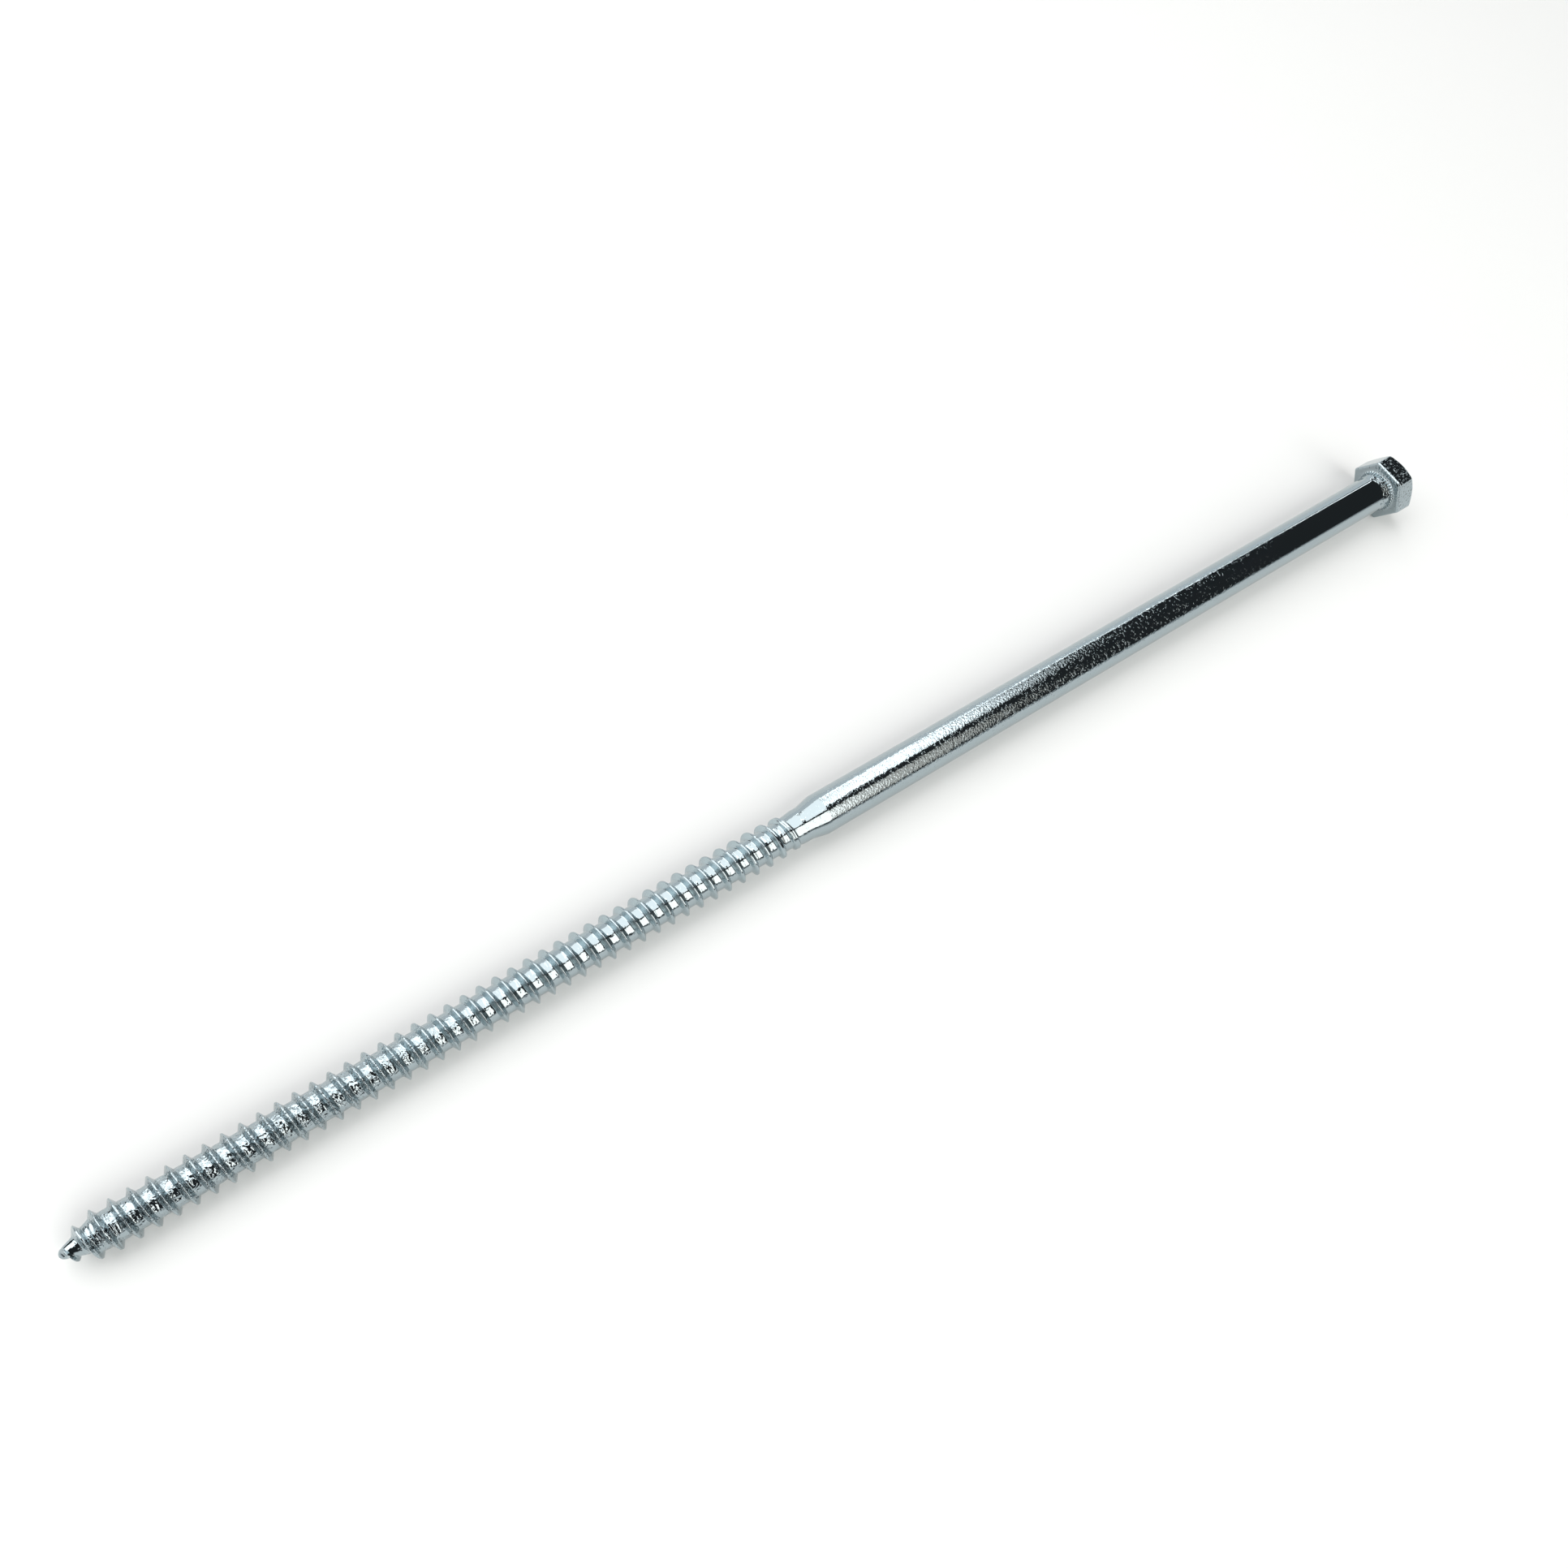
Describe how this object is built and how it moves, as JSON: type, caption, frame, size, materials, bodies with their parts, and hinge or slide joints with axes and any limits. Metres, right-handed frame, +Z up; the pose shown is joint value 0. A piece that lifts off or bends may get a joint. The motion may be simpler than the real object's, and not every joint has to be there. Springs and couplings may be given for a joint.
{
  "type": "lag screw",
  "caption": "Long hex head lag screw with a gimlet point, a coarse right-hand wood thread and a plain shank, lying on its side.",
  "frame": {"origin": "centre of the bounding box at the floor that the screw rests on, z = 0", "axes": "+X runs from the point to the head; the screw's axis rises 0.405 degrees towards the head, because it rests on the head's lower flat and on the first full crest of the thread; +Z is up"},
  "size_m": [0.3616, 0.0164, 0.0143],
  "materials": {
    "zinc_plate": "bright bluish-white zinc plate over steel, smooth on the shank, wrinkled on the head's flats and rough between the threads"
  },
  "bodies": {
    "root": {"lag_screw": "zinc_plate"}
  },
  "joints": []
}
